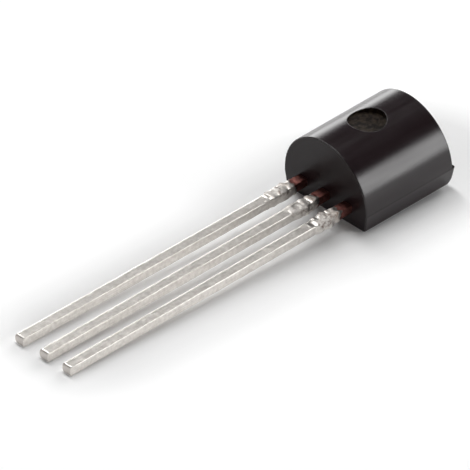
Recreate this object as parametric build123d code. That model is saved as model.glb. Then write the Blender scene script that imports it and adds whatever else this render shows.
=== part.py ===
from build123d import *
from math import asin, atan2, degrees, radians, sqrt, tan
import os

# A voltage regulator in a small moulded package with three leads in a row, lying on its flat.
# Component frame, in millimetres: X runs across the row of leads, Y from the lead tips towards
# the closed end of the body, with Y = 0 on the face that the leads leave, and Z up from the flat.

# Moulded body: a half-round back on a shallow slab, which carries the flat
ARCH_RADIUS = 2.34
AXIS_RISE = 0.09  # parting plane to the axis of the half-round
BODY_LENGTH = 4.66
END_DRAFT = 1.0  # degrees, lean of the half-round's two ends
PARTING_HEIGHT = 0.78  # flat to the middle of the leads, where the two mould halves met
END_LEDGE = 0.16  # slab proud of the half-round at the closed end
SLAB_DRAFT = 9.0  # degrees, lean of the slab's sides and closed end
FLAT_ROUND = 0.12  # edge of the flat along the sides, carried up the slab's two far corners
TOE_ROUND = 0.34  # edge of the flat at the closed end
RIM_ROUND = 0.045  # rims of the half-round

# Ejector pin mark on the crown of the half-round
EJECTOR_DIAMETER = 1.56
EJECTOR_DEPTH = 0.24
EJECTOR_FROM_LEAD_END = 2.32

# Leads: stamped from one strip, tinned outside the body
LEAD_PITCH = 1.27
LEAD_LENGTH = 15.0  # lead-end face to the sheared tip
LEAD_WIDTH = 0.47
STRIP_THICKNESS = 0.38
TIN_COAT = 0.02
BARE_ROOT = 0.62  # bare metal between the body and the tin
EDGE_ROUND = 0.11

# Stubs left on both sides of each lead where the tie bar was cut away
STUB_FROM_BODY = 0.85
STUB_LENGTH = 1.05
STUB_REACH = 0.10  # also the round of the stubs' corners

# Lead frame inside the body, as shares of the body's length and of its half-width
POST_LENGTH_SHARES = (0.16, 0.38)
PAD_LENGTH_SHARES = (0.46, 0.86)
PAD_WIDTH_SHARE = 0.55
POST_COVER = 0.42  # epoxy between a post and the side of the half-round
FRAME_GAP = 0.38  # stamped gap between the middle lead and a post
FRAME_ROUND = 0.10

# Die and the adhesive that holds it on the pad
DIE_SIDE = 1.10
DIE_THICKNESS = 0.25
ATTACH_MARGIN = 0.05
ATTACH_THICKNESS = 0.025

# Bond wires
WIRE_DIAMETER = 0.05
BALL_DIAMETER = 0.11
BALL_HEIGHT = 0.03
LOOP_HEIGHT = 0.22  # top of the loop above the die
STITCH_RISE = 0.12  # upright end of the wire on the lead frame
SHOULDER_SHARE = 0.30  # level top of the loop, as a share of the wire's span
BOND_PAD_SHARE = 0.36  # die centre to a bonding place, as a share of the die's side

OVERRUN = 1.0  # how far a cutting shape passes the piece that it cuts
ON_BASE = (Align.CENTER, Align.CENTER, Align.MIN)  # a cylinder placed by the middle of its base

# Places that follow from the sizes above
LEAD_TOP = PARTING_HEIGHT + STRIP_THICKNESS / 2
AXIS_HEIGHT = PARTING_HEIGHT + AXIS_RISE
CROWN_HEIGHT = AXIS_HEIGHT + ARCH_RADIUS
PARTING_HALF_WIDTH = sqrt(ARCH_RADIUS**2 - AXIS_RISE**2)
PAD_START, PAD_END = (share * BODY_LENGTH for share in PAD_LENGTH_SHARES)
PAD_MIDDLE = (PAD_START + PAD_END) / 2
POST_START, POST_END = (share * BODY_LENGTH for share in POST_LENGTH_SHARES)
POST_INNER = LEAD_WIDTH / 2 + FRAME_GAP
POST_OUTER = ARCH_RADIUS - POST_COVER
POST_MIDDLE = Vector((POST_INNER + POST_OUTER) / 2, (POST_START + POST_END) / 2, LEAD_TOP)
DIE_BASE = LEAD_TOP + ATTACH_THICKNESS
DIE_TOP = DIE_BASE + DIE_THICKNESS


def plan_rectangle(x_min, x_max, y_min, y_max):
    """Rectangle in plan between two pairs of sides."""
    middle = Pos((x_min + x_max) / 2, (y_min + y_max) / 2)
    return middle * Rectangle(x_max - x_min, y_max - y_min)


def arch_half():
    """Half-round back of the body, with both ends leaning in towards the crown."""
    dip = degrees(asin(AXIS_RISE / ARCH_RADIUS))
    half_round = [
        CenterArc((0, AXIS_HEIGHT), ARCH_RADIUS, -dip, 180 + 2 * dip),
        Line((-PARTING_HALF_WIDTH, PARTING_HEIGHT), (PARTING_HALF_WIDTH, PARTING_HEIGHT)),
    ]
    bar = extrude(Plane.XZ.offset(OVERRUN) * make_face(half_round), -BODY_LENGTH - 2 * OVERRUN)
    lean = (CROWN_HEIGHT - PARTING_HEIGHT) * tan(radians(END_DRAFT))
    side_view = Polyline(
        (0, PARTING_HEIGHT),
        (BODY_LENGTH, PARTING_HEIGHT),
        (BODY_LENGTH - lean, CROWN_HEIGHT),
        (lean, CROWN_HEIGHT),
        close=True,
    )
    arch = bar & extrude(Plane.YZ * make_face(side_view), ARCH_RADIUS + OVERRUN, both=True)
    rims = arch.edges().filter_by(lambda edge: edge.center().Z > AXIS_HEIGHT)
    return fillet(rims, RIM_ROUND)


def slab_half():
    """Shallow slab under the parting plane, narrowing to the flat on three of its sides."""
    half_width = PARTING_HALF_WIDTH
    length = BODY_LENGTH + END_LEDGE
    lean = PARTING_HEIGHT * tan(radians(SLAB_DRAFT))
    flat = plan_rectangle(lean - half_width, half_width - lean, 0, length - lean)
    parting = Pos(0, 0, PARTING_HEIGHT) * plan_rectangle(-half_width, half_width, 0, length)
    slab = loft([flat, parting], ruled=True)
    toe = slab.faces().sort_by(Axis.Z)[0].edges().sort_by(Axis.Y)[-1]
    slab = fillet(toe, TOE_ROUND)
    flat_sides = slab.faces().sort_by(Axis.Z)[0].edges().filter_by(Axis.Y)
    return fillet(flat_sides, FLAT_ROUND)


def moulding():
    """Outer form of the body, with the pin mark pressed into the crown."""
    floor = CROWN_HEIGHT - EJECTOR_DEPTH
    pin = Cylinder(EJECTOR_DIAMETER / 2, EJECTOR_DEPTH + OVERRUN, align=ON_BASE)
    return arch_half() + slab_half() - Pos(0, EJECTOR_FROM_LEAD_END, floor) * pin


def strip_piece(outline):
    """Plan outline stamped from the strip, centred on the lead plane."""
    return Pos(0, 0, PARTING_HEIGHT) * extrude(outline, STRIP_THICKNESS / 2, both=True)


def tinned_leg():
    """Tinned part of a lead on X = 0: a bar sheared at its tip, with a stub on each side."""
    bar = RectangleRounded(LEAD_WIDTH + 2 * TIN_COAT, STRIP_THICKNESS + 2 * TIN_COAT, EDGE_ROUND)
    bar = extrude(Plane.XZ.offset(BARE_ROOT) * bar, LEAD_LENGTH - BARE_ROOT)
    reach = LEAD_WIDTH / 2 + TIN_COAT + STUB_REACH
    stubs = plan_rectangle(-reach, reach, -STUB_FROM_BODY - STUB_LENGTH, -STUB_FROM_BODY)
    stubs = fillet(stubs.vertices(), STUB_REACH)
    return Pos(0, 0, PARTING_HEIGHT) * bar + strip_piece(stubs)


def stem(inner_end):
    """Plan outline of a lead's bare strip on X = 0, from inside the tin to a place in the body."""
    return plan_rectangle(-LEAD_WIDTH / 2, LEAD_WIDTH / 2, -STUB_FROM_BODY, inner_end)


def middle_lead():
    """Lead that widens inside the body into the pad under the die."""
    half_width = PAD_WIDTH_SHARE * ARCH_RADIUS
    pad = plan_rectangle(-half_width, half_width, PAD_START, PAD_END)
    pad = fillet(pad.vertices(), FRAME_ROUND)
    return strip_piece(stem(PAD_MIDDLE) + pad) + tinned_leg()


def outer_lead():
    """Lead on the +X side, which ends inside the body in a post for its bond wire."""
    post = plan_rectangle(POST_INNER, POST_OUTER, POST_START, POST_END)
    post = fillet(post.vertices(), FRAME_ROUND)
    place = Pos(LEAD_PITCH, 0)
    return strip_piece(place * stem(POST_MIDDLE.Y) + post) + place * tinned_leg()


def die_block(side, thickness, base):
    """Square block centred over the pad."""
    return Pos(0, PAD_MIDDLE, base + thickness / 2) * Box(side, side, thickness)


def bond_wire(x, y, landing):
    """Wire from a ball on the die at (x, y): up, level to a shoulder, then down to its landing place."""
    start = Vector(x, y, DIE_TOP)
    top = start + Vector(0, 0, LOOP_HEIGHT)
    over_landing = landing + Vector(0, 0, STITCH_RISE)
    shoulder = top + Vector(landing.X - x, landing.Y - y, 0) * SHOULDER_SHARE
    route = Polyline(start, top, shoulder, over_landing, landing)
    wire = sweep(Plane(start) * Circle(WIRE_DIAMETER / 2), path=route, transition=Transition.RIGHT)
    ball = Cylinder(BALL_DIAMETER / 2, BALL_HEIGHT, align=ON_BASE)
    return wire + Pos(start) * ball


def mirrored(piece):
    """The same piece on the -X side."""
    return mirror(piece, Plane.YZ)


def rest_tilt():
    """Degrees about X that bring the lead tips and the lead-end edge of the flat onto one floor."""
    return degrees(atan2(PARTING_HEIGHT - STRIP_THICKNESS / 2 - TIN_COAT, LEAD_LENGTH))


bond_offset = BOND_PAD_SHARE * DIE_SIDE
near_bond = PAD_MIDDLE - bond_offset
far_bond = PAD_MIDDLE + bond_offset
pad_landing = Vector(0, (PAD_MIDDLE + DIE_SIDE / 2 + PAD_END) / 2, LEAD_TOP)
output_lead = outer_lead()
output_wire = bond_wire(bond_offset, near_bond, POST_MIDDLE)

inserts = {
    "output_lead": output_lead,
    "ground_lead": middle_lead(),
    "input_lead": mirrored(output_lead),
    "die_attach": die_block(DIE_SIDE + 2 * ATTACH_MARGIN, ATTACH_THICKNESS, LEAD_TOP),
    "regulator_die": die_block(DIE_SIDE, DIE_THICKNESS, DIE_BASE),
    "output_bond_wire": output_wire,
    "ground_bond_wire": bond_wire(0, far_bond, pad_landing),
    "input_bond_wire": mirrored(output_wire),
}
epoxy_body = moulding()
for insert in inserts.values():
    epoxy_body -= insert
nodes = {"epoxy_body": epoxy_body} | inserts

# Tip every piece into the resting pose, then centre it on the floor
tipped = {name: Rot(rest_tilt(), 0, 0) * piece for name, piece in nodes.items()}
box = Compound(list(tipped.values())).bounding_box()
to_floor = Pos(-box.center().X, -box.center().Y, -box.min.Z)

os.makedirs("parts", exist_ok=True)
for name, piece in tipped.items():
    export_step(to_floor * piece, f"parts/{name}.step")
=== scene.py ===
import math

import bmesh
import bpy
import numpy as np
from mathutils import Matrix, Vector


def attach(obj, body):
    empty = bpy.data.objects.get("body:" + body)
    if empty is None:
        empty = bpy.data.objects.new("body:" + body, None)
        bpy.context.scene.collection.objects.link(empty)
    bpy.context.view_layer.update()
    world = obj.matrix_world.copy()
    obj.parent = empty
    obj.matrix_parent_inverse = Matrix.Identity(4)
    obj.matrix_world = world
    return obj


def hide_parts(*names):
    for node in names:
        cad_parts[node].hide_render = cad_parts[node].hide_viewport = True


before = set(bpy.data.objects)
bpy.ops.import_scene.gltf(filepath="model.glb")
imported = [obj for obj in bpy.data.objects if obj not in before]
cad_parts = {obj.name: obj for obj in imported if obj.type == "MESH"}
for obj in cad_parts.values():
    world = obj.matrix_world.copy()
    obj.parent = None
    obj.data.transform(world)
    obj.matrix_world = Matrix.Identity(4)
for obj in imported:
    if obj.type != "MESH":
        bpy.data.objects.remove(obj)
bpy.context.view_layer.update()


# Leads: three legs stamped side by side from one strip of copper alloy, whose inner ends are the die pad and two
# bonding posts. Outside the body they were dipped in solder, which stopped short of the epoxy and left lumps
# round the stubs of the cut tie bar. The tips were sheared off. Lengths are in millimetres.
LEAD_PITCH = 1.27
LEAD_LENGTH = 15.0
LEAD_PLANE = 0.78
INPUT_SPLAY, OUTPUT_SPLAY, SPLAY_POWER = -0.13, 0.02, 1.5
STRIP_HALF_WIDTH, STRIP_HALF_THICKNESS, TIN_COAT = 0.235, 0.19, 0.02
TINNED_HALF_WIDTH, TINNED_HALF_THICKNESS = 0.265, 0.215
TIN_EDGE, TIN_RAGGED = 0.60, 0.10
RAGGED_SIZE, RAGGED_WAVES = 2.0, (1.3, 2.1, 3.7)
TIN_STARTS, TIN_COVERS = 0.05, 0.06  # before and past the ragged edge
STUB_START, STUB_END, STUB_REACH, STUB_SLOPE = 0.85, 1.90, 0.10, 0.12
STUB_WAVES = (0.35, 0.55, 0.9)
SPECKS, SPECK_LENGTH, SPECK_HALF_ANGLE, SPECK_HEIGHT = 110, (0.05, 0.11), (11, 24), (-0.014, 0.022)
SPECKS_PAST_STUB = 0.25
RIPPLE_HEIGHT, RIPPLE_ROUND, RIPPLE_WAVES = 0.005, 0.25, (0.5, 0.8, 1.3)
SOLDER_SHOWS = (0.004, 0.03)  # push of the solder from which it looks like a lump, and wholly so
STAMPED_SQUARENESS, TINNED_SQUARENESS, SOLDER_LEAN = 14.0, 6.0, 2.4
PAD_BLOCK = (-1.287, 1.287, 2.144, 4.008)
POST_BLOCK = (0.615, 1.92, 0.746, 1.771)
MIRRORED_POST = (-POST_BLOCK[1], -POST_BLOCK[0], *POST_BLOCK[2:])
BLOCK_ROUND, BLOCK_RINGS = 0.10, 24
TIP_ROUND, TIP_RINGS = 0.06, 7
LEG_FROM_TIP, LEG_STEP = 0.1, 0.06
ROOT_LENGTH, ROOT_INSIDE, ROOT_STEP, STEM_RINGS = 2.7, 0.1, 0.022, 4
SECTION_POINTS = 96
SECTION_TURN = np.linspace(0, 2 * np.pi, SECTION_POINTS, endpoint=False)[None, :]
LEAD_SHARP_ANGLE = 50

# Large lumps of solder: distance from the body, angle in degrees, length, half-angle and height
INPUT_LUMPS = [(0.95, 150, 0.16, 40, 0.035), (1.35, 80, 0.14, 35, 0.025), (1.75, 110, 0.10, 30, 0.02)]
GROUND_LUMPS = [(0.85, 70, 0.13, 40, 0.03), (1.45, 20, 0.16, 35, 0.05), (1.8, 60, 0.16, 30, 0.02)]
OUTPUT_LUMPS = [(0.9, 50, 0.12, 40, 0.03), (1.3, 100, 0.10, 30, 0.03), (1.6, 10, 0.2, 40, 0.04)]

DULL_TIN, BRIGHT_TIN, LINED_TIN = (0.60, 0.565, 0.527), (0.80, 0.768, 0.728), (0.46, 0.43, 0.395)
CREAM_SOLDER, STAINED_SOLDER, BROWNED_SOLDER = (0.66, 0.63, 0.595), (0.19, 0.135, 0.11), (0.33, 0.245, 0.19)
DARK_COPPER, PALE_COPPER, SHEARED_METAL = (0.16, 0.062, 0.053), (0.30, 0.122, 0.104), (0.50, 0.47, 0.44)
BROWNED_FROM, BROWNED_TO = 1.25, 0.65  # distances from the body
SHEARED_BAND = (0.012, 0.002)  # distances from the tip
LINE_STRETCH = (20.0, 0.9, 20.0)

REST_TILT = math.atan2(LEAD_PLANE - STRIP_HALF_THICKNESS - TIN_COAT, LEAD_LENGTH)
REST_SLIDE = 5.11993
MILLIMETRE = 0.001
SEAM_GAP, SLIVER = 2e-8, 1e-9  # metres


def lay_down(points):
    """Component frame in millimetres (X across the leads, Y from tips to body, Z up from the flat) to the frame in
    metres: a turn about X by the resting tilt, then a slide along Y."""
    x, y, z = np.moveaxis(np.asarray(points, float), -1, 0)
    c, s = math.cos(REST_TILT), math.sin(REST_TILT)
    return np.stack([x, y * c - z * s + REST_SLIDE, y * s + z * c], -1) * MILLIMETRE


def grid_quads(rows, columns):
    """Quads between neighbours in a grid numbered row by row, whose last column meets the first."""
    row = np.arange(rows - 1)[:, None] * columns
    here = np.arange(columns)[None, :]
    after = (here + 1) % columns
    return np.stack([row + here, row + after, row + columns + after, row + columns + here], -1).reshape(-1, 4)


def smooth_step(start, end, value):
    """0 before start, 1 after end, and a cubic between them."""
    t = np.clip((value - start) / (end - start), 0, 1)
    return t * t * (3 - 2 * t)


def uneven(u, v, lengths, seed):
    """Gentle unevenness from -1 to 1: the mean of cosine waves of the given lengths over the plane of u and v,
    each in its own fixed direction and phase."""
    draw = np.random.default_rng(seed)
    waves = []
    for length in lengths:
        turn, phase = draw.uniform(0, 2 * np.pi, 2)
        waves.append(np.cos(2 * np.pi * (u * np.cos(turn) + v * np.sin(turn)) / length + phase))
    return np.mean(waves, axis=0)


def finished_piece(name, points, faces, materials, finish, node, attributes, sharp_angle):
    """Puts component-frame points and faces into a mesh object, closes its seams, turns its faces outwards, and
    hangs it on the frame in place of its CAD node. Finish numbers each face's material."""
    mesh = bpy.data.meshes.new(name)
    mesh.from_pydata(lay_down(points).tolist(), [], faces)
    for key, values in attributes.items():
        numbers = np.asarray(values, np.float32).ravel()
        mesh.attributes.new(key, "FLOAT", "POINT").data.foreach_set("value", numbers)
    for material in materials:
        mesh.materials.append(material)
    mesh.polygons.foreach_set("material_index", np.asarray(finish, np.int32))
    work = bmesh.new()
    work.from_mesh(mesh)
    bmesh.ops.remove_doubles(work, verts=work.verts, dist=SEAM_GAP)
    bmesh.ops.dissolve_degenerate(work, edges=work.edges, dist=SLIVER)
    bmesh.ops.recalc_face_normals(work, faces=work.faces)
    work.to_mesh(mesh)
    work.free()
    mesh.shade_smooth()
    mesh.set_sharp_from_angle(angle=math.radians(sharp_angle))
    piece = bpy.data.objects.new(name, mesh)
    bpy.context.scene.collection.objects.link(piece)
    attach(piece, "root")
    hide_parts(node)


def add_node(tree, kind, inputs=None, **settings):
    """Adds a shader node, with its settings, and fills its sockets with values or with links."""
    made = tree.nodes.new(kind)
    for key, value in settings.items():
        setattr(made, key, value)
    for key, value in (inputs or {}).items():
        if isinstance(value, bpy.types.NodeSocket):
            tree.links.new(value, made.inputs[key])
        else:
            made.inputs[key].default_value = value
    return made


def new_material(name):
    """A material with a bare node tree, the tree, and its principled shader."""
    material = bpy.data.materials.new(name)
    material.use_nodes = True
    return material, material.node_tree, material.node_tree.nodes["Principled BSDF"]


def part_millimetres(tree, stretch=(1.0, 1.0, 1.0)):
    """Object coordinates turned back to the component frame in millimetres, each axis times its stretch."""
    at = add_node(tree, "ShaderNodeTexCoord").outputs["Object"]
    c, s = math.cos(REST_TILT), math.sin(REST_TILT)
    level = add_node(tree, "ShaderNodeMapping", {
        "Vector": at, "Location": (0, -REST_SLIDE * c, REST_SLIDE * s), "Rotation": (-REST_TILT, 0, 0),
        "Scale": (1 / MILLIMETRE,) * 3}).outputs["Vector"]
    return add_node(tree, "ShaderNodeVectorMath", {0: level, 1: stretch}, operation="MULTIPLY").outputs["Vector"]


def noise(tree, vector, scale, detail=3.0, roughness=0.55):
    """Factor of a noise texture at so many features to the millimetre."""
    return add_node(tree, "ShaderNodeTexNoise", {
        "Vector": vector, "Scale": scale, "Detail": detail, "Roughness": roughness}).outputs["Fac"]


def spread(tree, value, low, high, to_low, to_high):
    """Value between low and high taken to the range to_low to to_high, and held at its ends."""
    return add_node(tree, "ShaderNodeMapRange", {
        "Value": value, "From Min": low, "From Max": high, "To Min": to_low, "To Max": to_high}).outputs["Result"]


def tint(tree, factor, first, second):
    """Colour between two colours by a factor."""
    mix = add_node(tree, "ShaderNodeMix", {0: factor}, data_type="RGBA")
    for socket, value in ((mix.inputs[6], first), (mix.inputs[7], second)):
        if isinstance(value, bpy.types.NodeSocket):
            tree.links.new(value, socket)
        else:
            socket.default_value = (*value, 1.0)
    return mix.outputs[2]


def blend_value(tree, factor, first, second):
    """Number between two numbers by a factor."""
    return add_node(tree, "ShaderNodeMix", {0: factor, 2: first, 3: second}, data_type="FLOAT").outputs[0]


def relief(tree, height, depth, under=None):
    """Bump of the given depth in metres, laid over another bump."""
    inputs = {"Height": height, "Strength": 1.0, "Distance": depth}
    if under is not None:
        inputs["Normal"] = under
    return add_node(tree, "ShaderNodeBump", inputs).outputs["Normal"]


def attribute(tree, name):
    """A number kept on the mesh's points."""
    return add_node(tree, "ShaderNodeAttribute", attribute_name=name).outputs["Fac"]


def tinned_copper():
    """Solder-dipped copper alloy: pale, warm and satin, with fine lines along the lead; creamy and stained in the
    lumps, dark reddish brown where the metal is bare, and dull grey at the sheared tip."""
    material, tree, shader = new_material("tinned_copper")
    place = part_millimetres(tree)
    along = add_node(tree, "ShaderNodeSeparateXYZ", {0: place}).outputs["Y"]
    lines = noise(tree, part_millimetres(tree, LINE_STRETCH), 1.0, 4.0)
    mottle = noise(tree, place, 6.0, 4.0, 0.6)
    stains = noise(tree, place, 6.5, 4.0, 0.6)
    grain = noise(tree, place, 34.0, 2.0)
    lumps, bare = attribute(tree, "solder"), attribute(tree, "bare")
    tin = tint(tree, spread(tree, mottle, 0.3, 0.7, 0.0, 1.0), DULL_TIN, BRIGHT_TIN)
    tin = tint(tree, spread(tree, lines, 0.40, 0.75, 0.0, 0.4), tin, LINED_TIN)
    solder = tint(tree, spread(tree, stains, 0.44, 0.68, 0.0, 1.0), CREAM_SOLDER, STAINED_SOLDER)
    solder = tint(tree, spread(tree, along, -BROWNED_FROM, -BROWNED_TO, 0.0, 0.6), solder, BROWNED_SOLDER)
    copper = tint(tree, spread(tree, mottle, 0.35, 0.65, 0.0, 1.0), DARK_COPPER, PALE_COPPER)
    metal = tint(tree, bare, tint(tree, lumps, tin, solder), copper)
    sheared = spread(tree, along, SHEARED_BAND[0] - LEAD_LENGTH, SHEARED_BAND[1] - LEAD_LENGTH, 0.0, 1.0)
    tree.links.new(tint(tree, sheared, metal, SHEARED_METAL), shader.inputs["Base Color"])
    tree.links.new(blend_value(tree, lumps, 1.0, 0.3), shader.inputs["Metallic"])
    satin = spread(tree, mottle, 0.3, 0.7, 0.28, 0.36)
    satin = blend_value(tree, lumps, satin, spread(tree, stains, 0.35, 0.65, 0.50, 0.70))
    tree.links.new(blend_value(tree, bare, satin, 0.46), shader.inputs["Roughness"])
    bumps = relief(tree, lines, 5e-6)
    bumps = relief(tree, mottle, 1.4e-5, bumps)
    bumps = relief(tree, blend_value(tree, lumps, 0.5, stains), 2.4e-5, bumps)
    tree.links.new(relief(tree, grain, 1.2e-6, bumps), shader.inputs["Normal"])
    return material


def lead_rings(y, left, right, thickness, squareness, lean, lumps):
    """Rounded section carried along Y: in each ring the unit superellipse |u|^p + |v|^p = 1, taken at even angles,
    is stretched to the lead's sides and half thickness, pushed out by the lumps and set on the lead's underside.
    The power p is the squareness times the lean to the cosine of the angle, as in solder that ran to one side."""
    power = squareness[:, None] * lean[:, None] ** np.cos(SECTION_TURN)
    unit = (np.abs(np.cos(SECTION_TURN)) ** power + np.abs(np.sin(SECTION_TURN)) ** power) ** (-1 / power)
    x = (left + right)[:, None] / 2 + ((right - left)[:, None] / 2 * unit + lumps) * np.cos(SECTION_TURN)
    rise = np.clip(thickness - STRIP_HALF_THICKNESS - TIN_COAT, 0, None)[:, None]
    z = LEAD_PLANE + rise + (thickness[:, None] * unit + lumps) * np.sin(SECTION_TURN)
    return np.stack([x, np.broadcast_to(y[:, None], x.shape), z], -1)


def tin_cover(from_body):
    """Share of the tin's thickness at a distance from the body: none at the root, all past the tin's edge."""
    return smooth_step(TIN_EDGE - TIN_RAGGED, TIN_EDGE + TIN_RAGGED, from_body)


def solder_lumps(from_body, bumps, seed):
    """Push of the solder in millimetres over rings and angles: Gaussian bumps, given as distance from the body,
    angle in degrees, length, half-angle and height, with a scatter of small ones drawn round the stubs, on waves
    that run on along the lead."""
    draw = np.random.default_rng(seed)
    scatter = np.stack([
        draw.uniform(TIN_EDGE, STUB_END + SPECKS_PAST_STUB, SPECKS), draw.uniform(0, 360, SPECKS),
        draw.uniform(*SPECK_LENGTH, SPECKS), draw.uniform(*SPECK_HALF_ANGLE, SPECKS),
        draw.uniform(*SPECK_HEIGHT, SPECKS)], -1)
    distance, angle, length, half_angle, height = np.concatenate([bumps, scatter]).T[:, :, None, None]
    sideways = (np.cos(SECTION_TURN - np.radians(angle)) - 1) / np.radians(half_angle) ** 2
    push = (height * np.exp(-(((from_body - distance) / length) ** 2) + sideways)).sum(0)
    ripple = uneven(from_body, RIPPLE_ROUND * np.sin(SECTION_TURN), RIPPLE_WAVES, seed + 2)
    return tin_cover(from_body) * (push + RIPPLE_HEIGHT * ripple)


def lead(node, centre, splay, block, bumps, seed, material):
    """One lead: rings from the sheared tip to the block inside the body, then rings along that block, with both
    ends capped. Splay is how far the tip has been bent aside."""
    y = np.concatenate([
        TIP_ROUND * (1 - np.cos(np.linspace(0, np.pi / 2, TIP_RINGS))) - LEAD_LENGTH,
        np.arange(LEG_FROM_TIP - LEAD_LENGTH, -ROOT_LENGTH, LEG_STEP),
        np.arange(-ROOT_LENGTH, ROOT_INSIDE, ROOT_STEP), np.linspace(ROOT_INSIDE, block[2], STEM_RINGS)])
    from_body = -y
    tinned = tin_cover(from_body)
    stub = smooth_step(STUB_START - STUB_SLOPE, STUB_START + STUB_SLOPE, from_body)
    stub = stub * smooth_step(STUB_END + STUB_SLOPE, STUB_END - STUB_SLOPE, from_body)
    torn = [0.5 + 0.5 * uneven(from_body, 0 * from_body, STUB_WAVES, seed + side) for side in (5, 6)]
    trimmed = TIP_ROUND * (1 - np.sqrt(1 - np.clip(1 - (LEAD_LENGTH + y) / TIP_ROUND, 0, 1) ** 2))
    half = STRIP_HALF_WIDTH + (TINNED_HALF_WIDTH - STRIP_HALF_WIDTH) * tinned - trimmed
    thickness = STRIP_HALF_THICKNESS + (TINNED_HALF_THICKNESS - STRIP_HALF_THICKNESS) * tinned - trimmed
    middle = centre + splay * np.clip(from_body / LEAD_LENGTH, 0, None) ** SPLAY_POWER
    squareness = STAMPED_SQUARENESS + (TINNED_SQUARENESS - STAMPED_SQUARENESS) * tinned
    lumps = solder_lumps(from_body[:, None], bumps, seed)
    leg = lead_rings(y, middle - half - STUB_REACH * stub * torn[0], middle + half + STUB_REACH * stub * torn[1],
                     thickness, squareness, 1 + (SOLDER_LEAN - 1) * tinned, lumps)

    inside = block[2] + (block[3] - block[2]) * (1 - np.cos(np.linspace(0, np.pi, BLOCK_RINGS))) / 2
    nearest_end = np.minimum(inside - block[2], block[3] - inside)
    inset = BLOCK_ROUND - np.sqrt(BLOCK_ROUND**2 - np.clip(BLOCK_ROUND - nearest_end, 0, None) ** 2)
    plain = np.zeros((BLOCK_RINGS, SECTION_POINTS))
    inner = lead_rings(inside, block[0] + inset, block[1] - inset, np.full(BLOCK_RINGS, STRIP_HALF_THICKNESS),
                       np.full(BLOCK_RINGS, STAMPED_SQUARENESS), np.ones(BLOCK_RINGS), plain)
    rings = np.concatenate([leg, inner])
    tip_cap = list(range(SECTION_POINTS))
    block_cap = [(len(rings) - 1) * SECTION_POINTS + i for i in reversed(tip_cap)]
    faces = grid_quads(len(rings), SECTION_POINTS).tolist() + [tip_cap, block_cap]

    edge = TIN_EDGE + TIN_RAGGED * uneven(
        RAGGED_SIZE * np.cos(SECTION_TURN), RAGGED_SIZE * np.sin(SECTION_TURN), RAGGED_WAVES, seed + 3)
    bare = 1 - smooth_step(edge - TIN_STARTS, edge + TIN_COVERS, from_body[:, None])
    finished_piece("tinned_" + node, rings.reshape(-1, 3), faces, [material], np.zeros(len(faces)), node,
                   {"bare": np.concatenate([bare, plain + 1]),
                                   "solder": np.concatenate([smooth_step(*SOLDER_SHOWS, lumps), plain])},
                   LEAD_SHARP_ANGLE)


lead_metal = tinned_copper()
lead("input_lead", -LEAD_PITCH, INPUT_SPLAY, MIRRORED_POST, INPUT_LUMPS, 11, lead_metal)
lead("ground_lead", 0.0, 0.0, PAD_BLOCK, GROUND_LUMPS, 23, lead_metal)
lead("output_lead", LEAD_PITCH, OUTPUT_SPLAY, POST_BLOCK, OUTPUT_LUMPS, 37, lead_metal)


# Chip on its pad: a square of silicon, a thin layer of silver-filled adhesive under it, and three gold wires
# bonded from its top to the pad and the two posts. All of it is sealed inside the epoxy.
def sealed_finish(name, first, second, metallic, roughness, scale):
    """A finish for the sealed pieces: two close colours mixed by a fine noise."""
    material, tree, shader = new_material(name)
    grain = noise(tree, part_millimetres(tree), scale)
    colour = tint(tree, spread(tree, grain, 0.35, 0.65, 0.0, 1.0), first, second)
    tree.links.new(colour, shader.inputs["Base Color"])
    tree.links.new(spread(tree, grain, 0.3, 0.7, 0.8 * roughness, 1.2 * roughness), shader.inputs["Roughness"])
    shader.inputs["Metallic"].default_value = metallic
    return material


silicon = sealed_finish("polished_silicon", (0.20, 0.22, 0.26), (0.26, 0.28, 0.32), 0.6, 0.2, 9.0)
adhesive = sealed_finish("silver_adhesive", (0.52, 0.52, 0.50), (0.66, 0.66, 0.64), 0.5, 0.5, 30.0)
gold = sealed_finish("gold_wire", (0.80, 0.58, 0.22), (0.90, 0.70, 0.32), 1.0, 0.25, 40.0)
sealed_finishes = {"regulator_die": silicon, "die_attach": adhesive, "output_bond_wire": gold,
                   "ground_bond_wire": gold, "input_bond_wire": gold}
for sealed, finish in sealed_finishes.items():
    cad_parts[sealed].data.materials.clear()
    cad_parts[sealed].data.materials.append(finish)


# Body: black epoxy moulded round the lead frame in two mould halves, which met at the leads' middle plane. The
# upper half is a half-round bar, the lower one a shallow slab that ends in the flat. A pin that pushed the part
# out of the mould left a round, flat-floored mark in the crown. Lengths are in millimetres.
ARCH_RADIUS, AXIS_HEIGHT = 2.34, 0.87
CROWN_HEIGHT = AXIS_HEIGHT + ARCH_RADIUS
BODY_LENGTH, END_LEDGE = 4.66, 0.16
END_DRAFT, SLAB_DRAFT = math.radians(1.0), math.radians(9.0)
FLAT_ROUND, TOE_ROUND, RIM_ROUND = 0.12, 0.34, 0.045
FLASH_HEIGHT, FLASH_REACH, FLASH_TURN = 0.010, 0.022, 0.06
MARK_RADIUS, MARK_DEPTH, MARK_PLACE, MARK_LIP = 0.78, 0.24, 2.32, 0.022
MARK_BLOCK_HALF, MARK_BLOCK_STEPS = 1.06, 57
FLASH_STEPS, FLANK_STEPS = 8, 52
FLAT_STEPS, FLAT_EDGE_STEPS, SLAB_SIDE_STEPS = 30, 10, 16
RIM_STEPS, FACE_STEPS, FACE_CROWDING = 8, 22, 0.8
NEAR_STEPS, FAR_STEPS = 28, 30
APPROACH_STEPS, LIP_STEPS, FLOOR_STEPS = 9, 6, 16
BODY_SHARP_ANGLE = 32

POLISHED_BLACK = (0.0096, 0.0045, 0.0057), (0.0138, 0.0074, 0.0090)
MATT_BLACK = (0.0115, 0.0062, 0.0074), (0.0135, 0.0078, 0.0090)
OLIVE_BROWN = (0.006, 0.003, 0.0018), (0.028, 0.020, 0.013)
FLOW_STRETCH = (5.0, 0.35, 5.0)
EPOXY_GRAIN = (26.0, 3.0, 0.6)  # scale, detail and roughness of its noise


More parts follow.
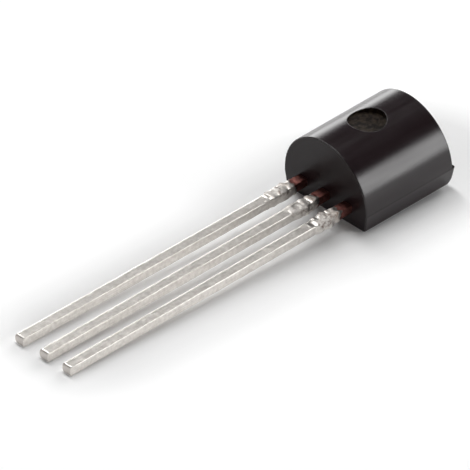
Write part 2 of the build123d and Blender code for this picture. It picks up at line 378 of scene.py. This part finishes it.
def arch_outline():
    """Half circle from the parting line on the +X side over the crown to the other side, with a small bead of
    flash on both lines, and its outward normals. Also the columns that lie over the pin mark's block."""
    dip = math.asin((AXIS_HEIGHT - LEAD_PLANE) / ARCH_RADIUS)
    to_block = math.acos(MARK_BLOCK_HALF / ARCH_RADIUS)
    flank = np.concatenate([np.linspace(-dip, FLASH_TURN, FLASH_STEPS),
                            np.linspace(FLASH_TURN, to_block, FLANK_STEPS)[1:]])
    crown = np.linspace(to_block, np.pi - to_block, MARK_BLOCK_STEPS)
    turn = np.concatenate([flank, crown[1:-1], np.pi - flank[::-1]])
    from_parting = (np.minimum(turn, np.pi - turn) + dip) * ARCH_RADIUS
    radius = ARCH_RADIUS + FLASH_HEIGHT * np.exp(-((from_parting / FLASH_REACH) ** 2))
    outward = np.stack([np.cos(turn), np.sin(turn)], -1)
    over_mark = len(flank) - 1 + np.arange(MARK_BLOCK_STEPS)
    return (0.0, AXIS_HEIGHT) + radius[:, None] * outward, outward, over_mark


def slab_outline(parting):
    """Outline under the parting line from the -X side round the flat to the +X side: leaning sides, rounded edges
    and a level flat, with its outward normals. Parting is the outline's upper end on the +X side."""
    flat_half = parting[0] - FLASH_HEIGHT - LEAD_PLANE * math.tan(SLAB_DRAFT)
    flat_half -= FLAT_ROUND * math.tan(math.pi / 4 - SLAB_DRAFT / 2)
    turn = np.linspace(-np.pi / 2, -SLAB_DRAFT, FLAT_EDGE_STEPS)
    outward = np.stack([np.cos(turn), np.sin(turn)], -1)
    edge = (flat_half, FLAT_ROUND) + FLAT_ROUND * outward
    side = edge[-1] + np.linspace(0, 1, SLAB_SIDE_STEPS)[1:, None] * (parting - edge[-1])
    level = np.stack([np.linspace(0, flat_half, FLAT_STEPS)[:-1], np.zeros(FLAT_STEPS - 1)], -1)
    half = np.concatenate([level, edge, side])
    normals = np.concatenate([
        np.tile(outward[0], (len(level), 1)), outward, np.tile(outward[-1], (len(side), 1))])
    return np.concatenate([half[:0:-1] * (-1, 1), half]), np.concatenate([normals[:0:-1] * (-1, 1), normals])


# Whole outline round the body; where the halves meet, the normals of both point straight aside
arch_side, arch_normals, mark_columns = arch_outline()
slab_side, slab_normals = slab_outline(arch_side[0])
for normals in (arch_normals, slab_normals):
    normals[[0, -1], 1] = 0
    normals[[0, -1], 0] = np.sign(normals[[0, -1], 0])
outline, outward = np.concatenate([arch_side, slab_side]), np.concatenate([arch_normals, slab_normals])
in_slab = np.arange(len(outline)) >= len(arch_side)


def lead_end(z):
    """Y of the lead-end face at a height: upright on the slab, leaning in above the parting plane."""
    return np.clip(z - LEAD_PLANE, 0, None) * math.tan(END_DRAFT)


def closed_end(z):
    """Y of the closed end at a height: each half leans in from the parting plane, where the slab stands proud, and
    the slab's toe is a quarter round onto the flat."""
    toe = TOE_ROUND - np.sqrt(TOE_ROUND**2 - np.clip(TOE_ROUND - z, 0, TOE_ROUND) ** 2)
    slab = BODY_LENGTH + END_LEDGE - (LEAD_PLANE - z) * math.tan(SLAB_DRAFT) - toe
    return np.where(in_slab, slab, BODY_LENGTH - (z - LEAD_PLANE) * math.tan(END_DRAFT))


def end_rows(face, radius, back, inwards):
    """Rows over one end of the body: straight lines from the middle of the parting line out to each outline point
    less the rim's radius, then a quarter round that goes back along the side. Face gives Y at a height."""
    turn = np.linspace(0, np.pi / 2, RIM_STEPS)[:, None]
    edge = outline - outward * (radius * (1 - np.sin(turn)))[..., None]
    hub = np.array([0.0, LEAD_PLANE])
    flat = hub + (np.linspace(0, 1, FACE_STEPS)[:-1, None, None] ** FACE_CROWDING) * (edge[0] - hub)
    places = np.concatenate([flat, edge])
    y = face(places[..., 1])
    y[FACE_STEPS - 1:] += inwards * back * (1 - np.cos(turn))
    return np.stack([places[..., 0], y, places[..., 1]], -1)


# Skin: rows over the lead end, along the sides and over the closed end, where the slab's upright corners are
# rounded, its toe is not rounded twice, and its sides stop short of the ledge
lead_rim = np.full(len(outline), RIM_ROUND)
closed_rim = np.where(in_slab, FLAT_ROUND, RIM_ROUND)
closed_back = np.where(in_slab, FLAT_ROUND * (1 - outward[:, 1] ** 2), RIM_ROUND)
closed_straight = np.where(in_slab, END_LEDGE + RIM_ROUND - FLAT_ROUND, 0.0)
near_rows = end_rows(lead_end, lead_rim, lead_rim, 1)
far_rows = end_rows(closed_end, closed_rim, closed_back, -1)
side_start, side_end = near_rows[-1, :, 1], far_rows[-1, :, 1] - closed_straight
stations = np.concatenate([
    np.linspace(0, MARK_PLACE - MARK_BLOCK_HALF, NEAR_STEPS)[1:-1],
    np.linspace(-MARK_BLOCK_HALF, MARK_BLOCK_HALF, MARK_BLOCK_STEPS) + MARK_PLACE,
    np.linspace(MARK_PLACE + MARK_BLOCK_HALF, BODY_LENGTH, FAR_STEPS)[1:]])[:, None] / BODY_LENGTH
side_y = side_start + stations * (side_end - side_start)
side_rows = np.stack([np.broadcast_to(outline[:, 0], side_y.shape), side_y,
                      np.broadcast_to(outline[:, 1], side_y.shape)], -1)
skin = np.concatenate([near_rows, side_rows, far_rows[::-1]])
skin_rows, skin_columns = skin.shape[:2]
skin_points = skin.reshape(-1, 3)

# Pin mark: the skin's block round it is left out, and rings fill it from the block's edge to a circle, over a
# small lip, down the wall and across the floor to its middle
mark_rows = len(near_rows) + NEAR_STEPS - 2 + np.arange(MARK_BLOCK_STEPS)
skin_numbers = np.arange(skin_rows * skin_columns).reshape(skin_rows, skin_columns)
mark_block = skin_numbers[np.ix_(mark_rows, mark_columns)]
border = np.concatenate([mark_block[0, :-1], mark_block[:-1, -1], mark_block[-1, :0:-1], mark_block[:0:-1, 0]])
border_plan = skin_points[border][:, :2] - (0, MARK_PLACE)
bearing = np.arctan2(border_plan[:, 1], border_plan[:, 0])
towards = np.stack([np.cos(bearing), np.sin(bearing)], -1)


def over_arch(plan):
    """Height of the half-round over a place in plan."""
    return AXIS_HEIGHT + np.sqrt(ARCH_RADIUS**2 - plan[..., 0] ** 2)


lip_plan = (MARK_RADIUS + MARK_LIP) * towards
approach = border_plan + np.linspace(0, 1, APPROACH_STEPS)[1:-1, None, None] * (lip_plan - border_plan)
quarter = np.linspace(0, np.pi / 2, LIP_STEPS)
wall = np.linspace(1, 0, LIP_STEPS)[1:-1]
across_floor = np.linspace(1, 0, FLOOR_STEPS)[1:]
ring_radius = np.concatenate([
    MARK_RADIUS + MARK_LIP * (1 - np.sin(quarter)), np.full(len(wall), MARK_RADIUS),
    MARK_RADIUS - MARK_LIP * (1 - np.cos(quarter)), (MARK_RADIUS - MARK_LIP) * across_floor])
ring_share = np.concatenate([np.ones(LIP_STEPS), wall, np.zeros(LIP_STEPS + len(across_floor))])
ring_round = np.concatenate([
    MARK_LIP * np.cos(quarter), np.zeros(len(wall)), -MARK_LIP * np.sin(quarter),
    np.full(len(across_floor), -MARK_LIP)])
ring_plan = ring_radius[:, None, None] * towards
mark_floor = CROWN_HEIGHT - MARK_DEPTH
wall_height = over_arch(ring_plan) - MARK_LIP - mark_floor - MARK_LIP
ring_height = mark_floor + MARK_LIP + ring_share[:, None] * wall_height + ring_round[:, None]
rings = np.concatenate([
    np.concatenate([approach, over_arch(approach)[..., None]], -1),
    np.concatenate([ring_plan, ring_height[..., None]], -1)]) + (0, MARK_PLACE, 0)
ring_numbers = len(skin_points) + np.arange(rings.shape[0] * len(border)).reshape(-1, len(border))
ring_numbers = np.concatenate([border[None], ring_numbers])
ring_quads = np.stack([
    ring_numbers[:-1], np.roll(ring_numbers[:-1], -1, 1), np.roll(ring_numbers[1:], -1, 1), ring_numbers[1:]],
    -1).reshape(-1, 4)
kept = np.ones((skin_rows - 1, skin_columns), bool)
kept[np.ix_(mark_rows[:-1], mark_columns[:-1])] = False
skin_quads = grid_quads(skin_rows, skin_columns)[kept.ravel()]
body_points = np.concatenate([skin_points, rings.reshape(-1, 3)])
body_faces = skin_quads.tolist() + ring_quads.tolist()


def black_epoxy():
    """Epoxy from the polished mould: near-black and half glossy, with faint flow lines along the body."""
    material, tree, shader = new_material("black_epoxy")
    place = part_millimetres(tree)
    flow = noise(tree, part_millimetres(tree, FLOW_STRETCH), 1.0, 4.0)
    cloud = noise(tree, place, 2.2, 4.0)
    grain = noise(tree, place, *EPOXY_GRAIN)
    colour = tint(tree, spread(tree, cloud, 0.3, 0.7, 0.0, 1.0), *POLISHED_BLACK)
    tree.links.new(colour, shader.inputs["Base Color"])
    tree.links.new(spread(tree, flow, 0.3, 0.7, 0.20, 0.27), shader.inputs["Roughness"])
    tree.links.new(relief(tree, grain, 1.2e-6, relief(tree, flow, 2.0e-6)), shader.inputs["Normal"])
    return material


def matt_epoxy():
    """Epoxy from the unpolished ends of the mould: dull and fine-grained."""
    material, tree, shader = new_material("matt_epoxy")
    grain = noise(tree, part_millimetres(tree), *EPOXY_GRAIN)
    tree.links.new(tint(tree, grain, *MATT_BLACK), shader.inputs["Base Color"])
    tree.links.new(spread(tree, grain, 0.3, 0.7, 0.30, 0.38), shader.inputs["Roughness"])
    shader.inputs["Specular IOR Level"].default_value = 0.22
    tree.links.new(relief(tree, grain, 1.6e-6), shader.inputs["Normal"])
    return material


def pitted_epoxy():
    """Epoxy in the pin mark, torn a little by the pin: dark, pitted and mottled with an olive brown."""
    material, tree, shader = new_material("pitted_epoxy")
    place = part_millimetres(tree)
    grain = noise(tree, place, *EPOXY_GRAIN)
    pits = noise(tree, place, 4.6, 3.0, 0.6)
    colour = tint(tree, spread(tree, pits, 0.42, 0.60, 0.0, 1.0), *OLIVE_BROWN)
    tree.links.new(colour, shader.inputs["Base Color"])
    tree.links.new(spread(tree, pits, 0.40, 0.60, 0.62, 0.38), shader.inputs["Roughness"])
    shader.inputs["Specular IOR Level"].default_value = 0.10
    tree.links.new(relief(tree, pits, 4.0e-5, relief(tree, grain, 1.6e-6)), shader.inputs["Normal"])
    return material


body_materials = [black_epoxy(), matt_epoxy(), pitted_epoxy()]
POLISHED, MATT, PITTED = range(len(body_materials))
skin_finish = np.full(kept.shape, POLISHED)
skin_finish[:FACE_STEPS - 1] = MATT
skin_finish[1 - FACE_STEPS:] = np.where(in_slab, POLISHED, MATT)
ring_finish = np.where(np.arange(len(rings)) < len(approach) + LIP_STEPS, POLISHED, PITTED)
body_finish = np.concatenate([skin_finish[kept], np.repeat(ring_finish, len(border))])
finished_piece("moulded_body", body_points, body_faces, body_materials, body_finish, "epoxy_body",
               {}, BODY_SHARP_ANGLE)


# Floor: a plain white sheet under the part. It keeps the part's soft shadow, and to the camera and in reflections
# it adds painted light of its own, so that it reads as white away from the part and, more faintly, under the
# row of leads, where this painted light lightens the leads' shadows. Lengths are in metres, and a pair is where
# a change starts and ends.
FLOOR_HALF = 0.6
SHEET_WHITE = (0.88, 0.88, 0.88), (0.90, 0.90, 0.90)
PART_LINE = (-0.0075, 0.0100)  # along Y, between the lead tips and the closed end
# Painted light that whitens the floor away from the part
AROUND_PART, AROUND_PAINTED_LIGHT = (0.0022, 0.0043), 0.23  # by distance from that line
BODY_WIDENS, BODY_WIDER = (0.0012, 0.0040), 0.0007
# Painted light under the row of leads, which lightens their shadows
ROW_SIDES = (-0.00225, -0.00175), (0.00125, 0.00175)
ROW_WIDTH, ROW_PAINTED_LIGHT = (-0.0016, 0.0016), (0.22, 0.10)
BODY_SHADE, BODY_SKEW = (0.0031, 0.0043), 0.5
TIP_SHADE, TIP_SHARE = (-0.0079, -0.0029), 0.3
# Painted light in reflections, by distance from a spot in the body
BODY_SPOT, MIRRORED_REACH, MIRRORED_PAINTED_LIGHT = (0.0, 0.0074, 0.0), (0.0045, 0.009), (0.05, 0.27)


def work_out(tree, operation, *values):
    """A number worked out from numbers by one operation."""
    return add_node(tree, "ShaderNodeMath", dict(enumerate(values)), operation=operation).outputs[0]


def distance_to(tree, place, other):
    """Distance between two places."""
    return add_node(tree, "ShaderNodeVectorMath", {0: place, 1: other}, operation="DISTANCE").outputs["Value"]


def painted_floor_light(tree, at):
    """Painted light that the sheet adds to the camera's view: it grows with the distance from the part's line,
    less a little beside the body, and under the leads, where it lightens their shadows, it falls from the input
    side to the output side, towards the tips and by the body."""
    axes = add_node(tree, "ShaderNodeSeparateXYZ", {0: at})
    x, y = axes.outputs["X"], axes.outputs["Y"]
    along = add_node(tree, "ShaderNodeClamp", {"Value": y, "Min": PART_LINE[0], "Max": PART_LINE[1]}).outputs[0]
    aside = distance_to(tree, at, add_node(tree, "ShaderNodeCombineXYZ", {"Y": along}).outputs[0])
    aside = work_out(tree, "SUBTRACT", aside, spread(tree, along, *BODY_WIDENS, 0.0, BODY_WIDER))
    around = spread(tree, aside, *AROUND_PART, 0.0, AROUND_PAINTED_LIGHT)
    skewed = work_out(tree, "MULTIPLY_ADD", x, BODY_SKEW, y)
    clear = work_out(tree, "MULTIPLY", spread(tree, skewed, *BODY_SHADE, 1.0, 0.0),
                     spread(tree, y, *TIP_SHADE, TIP_SHARE, 1.0))
    # Painted light under the row of leads lightens their shadows
    in_row = work_out(tree, "MULTIPLY", spread(tree, x, *ROW_SIDES[0], 0.0, 1.0),
                      spread(tree, x, *ROW_SIDES[1], 1.0, 0.0))
    under = work_out(tree, "MULTIPLY", clear, spread(tree, x, *ROW_WIDTH, *ROW_PAINTED_LIGHT))
    return work_out(tree, "ADD", around, work_out(tree, "MULTIPLY", in_row, under))


def white_sheet():
    """White paper: a matt white with the faintest unevenness, with painted light of its own for camera and glossy
    rays; in reflections it looks brighter away from the body.
    """
    material, tree, shader = new_material("white_sheet")
    at = add_node(tree, "ShaderNodeTexCoord").outputs["Object"]
    tone = add_node(tree, "ShaderNodeTexNoise", {"Vector": at, "Scale": 60.0, "Detail": 2.0}).outputs["Fac"]
    tree.links.new(tint(tree, tone, *SHEET_WHITE), shader.inputs["Base Color"])
    shader.inputs["Roughness"].default_value = 0.9
    shader.inputs["Specular IOR Level"].default_value = 0.0
    rays = add_node(tree, "ShaderNodeLightPath").outputs
    seen = work_out(tree, "MAXIMUM", rays["Is Camera Ray"], rays["Is Glossy Ray"])
    # Painted reflection: to glossy rays the sheet adds more painted light the farther it lies from the body
    mirrored = spread(tree, distance_to(tree, at, BODY_SPOT), *MIRRORED_REACH, *MIRRORED_PAINTED_LIGHT)
    glow = blend_value(tree, rays["Is Glossy Ray"], painted_floor_light(tree, at), mirrored)
    painted_light = add_node(tree, "ShaderNodeEmission", {"Color": (1, 1, 1, 1), "Strength": glow})
    none = add_node(tree, "ShaderNodeEmission", {"Color": (0, 0, 0, 1), "Strength": 0.0})
    lifted = add_node(tree, "ShaderNodeMixShader", {0: seen, 1: none.outputs[0], 2: painted_light.outputs[0]})
    total = add_node(tree, "ShaderNodeAddShader", {0: shader.outputs[0], 1: lifted.outputs[0]})
    tree.links.new(total.outputs[0], tree.nodes["Material Output"].inputs["Surface"])
    return material


def flat_sheet(name, corners, material):
    """A flat four-cornered sheet for the stage."""
    mesh = bpy.data.meshes.new(name)
    mesh.from_pydata([tuple(c) for c in corners], [], [[0, 1, 2, 3]])
    mesh.materials.append(material)
    sheet = bpy.data.objects.new(name, mesh)
    bpy.context.scene.collection.objects.link(sheet)
    return sheet


flat_sheet("floor", [(-FLOOR_HALF, -FLOOR_HALF, 0), (FLOOR_HALF, -FLOOR_HALF, 0), (FLOOR_HALF, FLOOR_HALF, 0),
                     (-FLOOR_HALF, FLOOR_HALF, 0)], white_sheet())


# Light: six soft panels in a dim room. A long strip hangs over the part from side to side. The others are a strip
# above the lead tips, a low one under the camera, one past the closed end, a bright one on the right and a low
# wide one straight behind. Lengths are in metres.
PANEL_DISTANCE = 0.25
ROOM_GREY, ROOM_SEEN = (0.05, 0.05, 0.05), (1.0, 1.0, 1.0)


def soft_panel(name, direction, width, height, strength, upright=(0, 0, 1)):
    """A glowing sheet that faces the part from a direction, of the given width and height; its height lies in one
    plane with the upright."""
    material = bpy.data.materials.new(name)
    material.use_nodes = True
    tree = material.node_tree
    tree.nodes.remove(tree.nodes["Principled BSDF"])
    glow = add_node(tree, "ShaderNodeEmission", {"Color": (1, 1, 1, 1), "Strength": strength})
    back = add_node(tree, "ShaderNodeNewGeometry").outputs["Backfacing"]
    dark = add_node(tree, "ShaderNodeEmission", {"Color": (0, 0, 0, 1), "Strength": 0.0})
    faced = add_node(tree, "ShaderNodeMixShader", {0: back, 1: glow.outputs[0], 2: dark.outputs[0]})
    tree.links.new(faced.outputs[0], tree.nodes["Material Output"].inputs["Surface"])
    away = Vector(direction).normalized()
    across = Vector(upright).cross(away).normalized()
    upward = away.cross(across)
    middle = away * PANEL_DISTANCE
    corners = [middle + sx * across * width / 2 + sy * upward * height / 2
               for sx, sy in ((-1, -1), (-1, 1), (1, 1), (1, -1))]
    flat_sheet(name, corners, material).visible_camera = False


soft_panel("panel_key", (-0.42, 0.18, 0.89), 0.31, 0.055, 8.4, upright=(0, 1, 0))
soft_panel("panel_front", (-0.10, -0.68, 0.72), 0.30, 0.034, 2.6)
soft_panel("panel_low", (0.68, -0.68, 0.24), 0.20, 0.05, 1.2)
soft_panel("panel_back", (-0.14, 0.85, 0.50), 0.12, 0.11, 4.4)
soft_panel("panel_right", (0.76, 0.57, 0.27), 0.085, 0.130, 6.4)
soft_panel("panel_left", (-0.82, 0.57, 0.12), 0.20, 0.085, 4.1)

world = bpy.data.worlds.new("room")
bpy.context.scene.world = world
world.use_nodes = True
room = world.node_tree
sky = room.nodes["Background"]
sky.inputs["Strength"].default_value = 1.0
to_camera = add_node(room, "ShaderNodeLightPath").outputs["Is Camera Ray"]
room.links.new(tint(room, to_camera, ROOM_GREY, ROOM_SEEN), sky.inputs["Color"])


# Camera: at the photograph's angle, from far away through a long lens. Lengths are in metres.
AZIMUTH, ELEVATION = math.radians(46.892), math.radians(34.664)
CAMERA_DISTANCE = 0.72
FRAME_WIDTH = 0.01835
AIM = Vector((-0.7277, 0.9283, 0.400)) * MILLIMETRE
NEAREST_SEEN, FARTHEST_SEEN = 0.01, 5.0
camera = bpy.data.objects.new("camera", bpy.data.cameras.new("camera"))
bpy.context.scene.collection.objects.link(camera)
backward = Vector((math.sin(AZIMUTH) * math.cos(ELEVATION), -math.cos(AZIMUTH) * math.cos(ELEVATION),
                   math.sin(ELEVATION)))
camera.location = AIM + backward * CAMERA_DISTANCE
camera.rotation_euler = (-backward).to_track_quat("-Z", "Y").to_euler()
camera.data.lens = camera.data.sensor_width * CAMERA_DISTANCE / FRAME_WIDTH
camera.data.clip_start, camera.data.clip_end = NEAREST_SEEN, FARTHEST_SEEN
bpy.context.scene.camera = camera
bpy.context.scene.view_settings.view_transform = "Standard"
